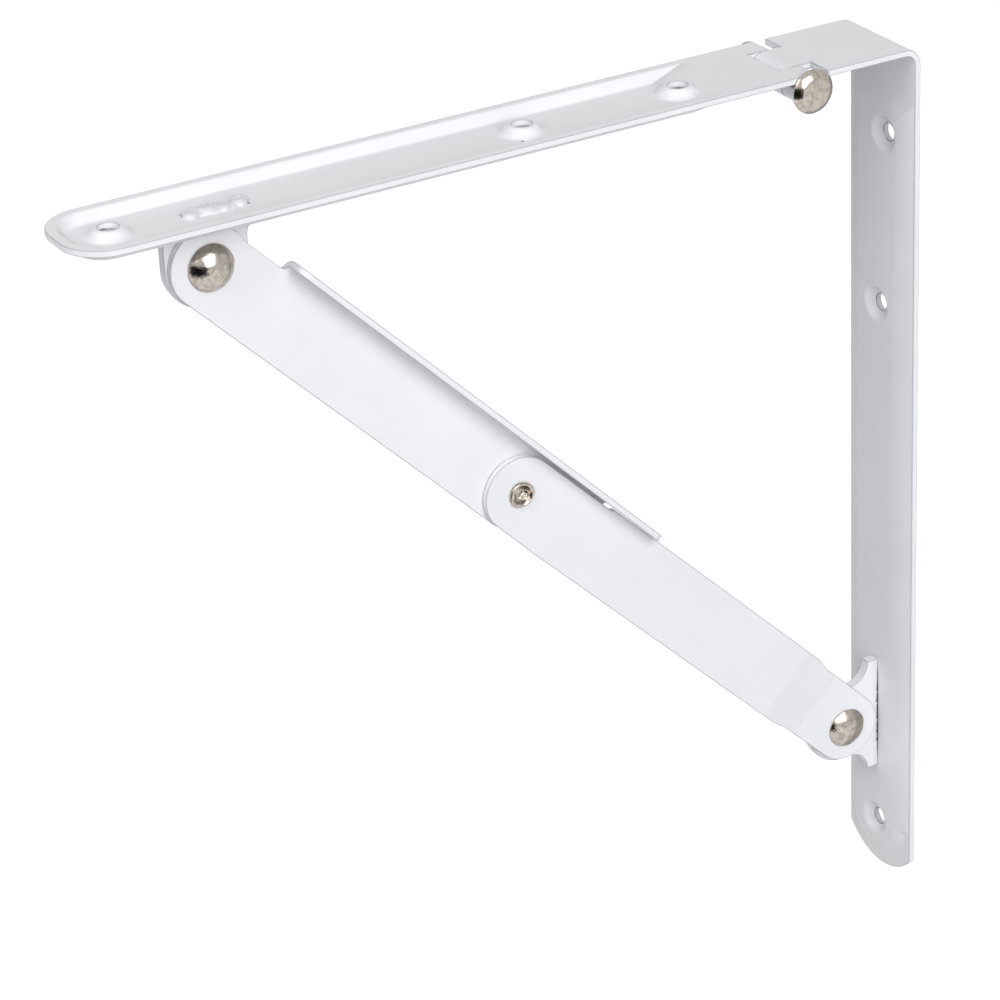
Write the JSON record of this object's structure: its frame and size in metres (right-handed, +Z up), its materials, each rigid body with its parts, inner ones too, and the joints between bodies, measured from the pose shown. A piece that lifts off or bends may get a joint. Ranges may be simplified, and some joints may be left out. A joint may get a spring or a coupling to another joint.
{
  "type": "drop leaf table bracket",
  "caption": "Folding bracket for a drop-leaf table or shelf: pressed wall plate and arm on a rolled hinge, with a riveted locking strut.",
  "frame": {"origin": "on the wall plane, half way between the middle and the lower wall screw hole", "axes": "+X out from the wall, +Y along the hinge towards its round rivet head, +Z up"},
  "size_m": [0.203, 0.0283, 0.2184],
  "materials": {
    "coat": "satin powder coat",
    "nickel": "nickel plated"
  },
  "bodies": {
    "wall_plate": {"wall_plate": "coat", "wall_lug": "coat", "wall_rivet": "nickel", "hinge_rivet_core": "nickel"},
    "lower_strut": {"lower_strut": "coat"},
    "upper_strut": {"upper_strut": "coat", "knee_rivet": "nickel"},
    "arm": {"arm": "coat", "arm_lug": "coat", "arm_rivet": "nickel", "hinge_rivet_head": "nickel", "hinge_rivet_tail": "nickel"}
  },
  "joints": [
    {"name": "wall_pivot", "type": "hinge", "parent": "wall_plate", "child": "lower_strut", "pos_m": [0.0134, 0, -0.03885], "axis": [0, 1, 0], "range_deg": [-44.7, 0]},
    {"name": "knee_pivot", "type": "hinge", "parent": "lower_strut", "child": "upper_strut", "pos_m": [0.10113, 0, 0.05009], "axis": [0, 1, 0], "range_deg": [0, 166.81]},
    {"name": "arm_pivot", "type": "hinge", "parent": "upper_strut", "child": "arm", "pos_m": [0.1705, 0, 0.12145], "axis": [0, 1, 0], "range_deg": [-39.1, 0]}
  ],
  "couplings": [
    {"joint": "knee_pivot", "follows": "wall_pivot", "ratio": -3.7313},
    {"joint": "arm_pivot", "follows": "wall_pivot", "ratio": 0.87469}
  ]
}
